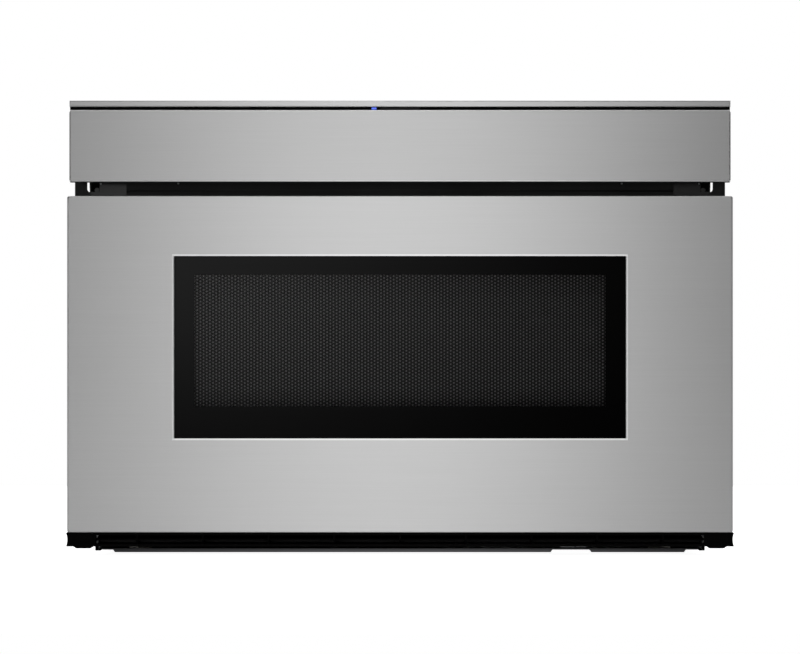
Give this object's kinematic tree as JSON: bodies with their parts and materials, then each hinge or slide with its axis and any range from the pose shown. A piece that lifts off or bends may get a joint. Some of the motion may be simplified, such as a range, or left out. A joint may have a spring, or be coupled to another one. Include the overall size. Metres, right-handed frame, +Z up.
{
  "type": "microwave drawer",
  "caption": "Built-in microwave drawer: stainless front with a dark window, an oven drawer on telescopic slides, and a tilting concealed control panel.",
  "frame": {"origin": "middle of the footprint, on the plane of the pressed pans that the body rests on", "axes": "+X to the right as the user sees it, +Y to the rear of the cabinet, +Z up"},
  "size_m": [0.6084, 0.625, 0.4139],
  "materials": {
    "brushed_stainless": "horizontal brushed grain",
    "black_glass": "tinted, gloss",
    "clear_glass": "clear",
    "tray_glass": "opaque grey ceramic glass",
    "black_moulding": "fine moulded grain",
    "grey_moulding": "smooth moulded",
    "white_moulding": "smooth moulded",
    "blue_lens": "clear blue lens",
    "black_paint": "satin powder coat",
    "cavity_paint": "satin oven paint",
    "zinc_sheet": "zinc coated sheet",
    "slide_steel": "zinc plated",
    "gear_steel": "cut steel",
    "gear_plastic": "moulded acetal",
    "stirrer_aluminium": "stamped sheet",
    "cover_plate": "pale mica sheet",
    "core_steel": "varnished laminations and windings",
    "board": "glass epoxy board with parts"
  },
  "bodies": {
    "chassis": {"air_duct": "black_moulding", "base_plate": "black_paint", "capacitor": "zinc_sheet", "cavity_lamp": "white_moulding", "cord_bushing": "black_moulding", "drive_motor": "zinc_sheet", "fan_motor": "zinc_sheet", "fan_shroud": "black_moulding", "front_frame": "black_paint", "hinge_brackets": "black_paint", "interlock_switches": "white_moulding", "magnetron": "zinc_sheet", "motor_bracket": "zinc_sheet", "outer_case": "zinc_sheet", "oven_cavity": "cavity_paint", "panel_housing": "black_paint", "power_board": "board", "rear_cover": "zinc_sheet", "rear_screws": "slide_steel", "sensor_bar": "black_moulding", "sensor_window": "black_glass", "shaft_bearings": "white_moulding", "slide_outers": "slide_steel", "status_light": "blue_lens", "stirrer_cover": "cover_plate", "stirrer_motor": "zinc_sheet", "support_brackets": "zinc_sheet", "switch_bracket": "zinc_sheet", "thermal_cutout": "white_moulding", "top_trim": "brushed_stainless", "transformer": "core_steel", "vent_trim": "black_moulding", "waveguide": "zinc_sheet"},
    "drawer": {"door_skin": "brushed_stainless", "window_glass": "black_glass", "door_frame": "black_moulding", "shield_mesh": "black_paint", "door_back_plate": "cavity_paint", "choke_cover": "grey_moulding", "inner_pane": "clear_glass", "door_screws": "slide_steel", "interlock_prongs": "black_moulding", "door_brackets": "zinc_sheet", "drawer_tub": "cavity_paint", "tub_tray": "tray_glass", "slide_inners": "slide_steel", "racks": "gear_steel"},
    "slide_members": {"slide_middles": "slide_steel"},
    "cross_shaft": {"pinion_shaft": "slide_steel", "pinions": "gear_steel", "drive_gear": "gear_plastic"},
    "motor_shaft": {"motor_gear": "gear_steel"},
    "control_panel": {"fascia_skin": "brushed_stainless", "fascia_frame": "black_moulding", "touch_glass": "black_glass", "touch_board": "board", "panel_pins": "slide_steel"},
    "fan": {"fan_blade": "black_moulding"},
    "stirrer": {"stirrer_blade": "stirrer_aluminium"},
    "plungers": {"switch_plungers": "white_moulding"}
  },
  "joints": [
    {"name": "drawer_slide", "type": "slide", "parent": "chassis", "child": "drawer", "axis": [0, -1, 0], "range_m": [0, 0.381]},
    {"name": "slide_members_run", "type": "slide", "parent": "chassis", "child": "slide_members", "axis": [0, -1, 0], "range_m": [0, 0.1906]},
    {"name": "cross_shaft_spin", "type": "hinge", "parent": "chassis", "child": "cross_shaft", "pos_m": [0, -0.2545, 0.0402], "axis": [1, 0, 0], "continuous": true},
    {"name": "motor_spin", "type": "hinge", "parent": "chassis", "child": "motor_shaft", "pos_m": [0.1395, -0.2335, 0.0402], "axis": [1, 0, 0], "continuous": true},
    {"name": "panel_tilt", "type": "hinge", "parent": "chassis", "child": "control_panel", "pos_m": [0, -0.2875, 0.3677], "axis": [1, 0, 0], "range_deg": [0, 45]},
    {"name": "fan_spin", "type": "hinge", "parent": "chassis", "child": "fan", "pos_m": [-0.15, 0.3045, 0.235], "axis": [0, 1, 0], "continuous": true},
    {"name": "stirrer_spin", "type": "hinge", "parent": "chassis", "child": "stirrer", "pos_m": [0, -0.066, 0.275], "axis": [0, 0, 1], "continuous": true},
    {"name": "plunger_press", "type": "slide", "parent": "chassis", "child": "plungers", "axis": [0, 1, 0], "range_m": [0, 0.0015], "stiffness_N_per_m": 300}
  ],
  "couplings": [
    {"joint": "slide_members_run", "follows": "drawer_slide", "ratio": 0.5},
    {"joint": "cross_shaft_spin", "follows": "drawer_slide", "rad_per_m": 83.333},
    {"joint": "motor_spin", "follows": "drawer_slide", "rad_per_m": -208.33}
  ]
}
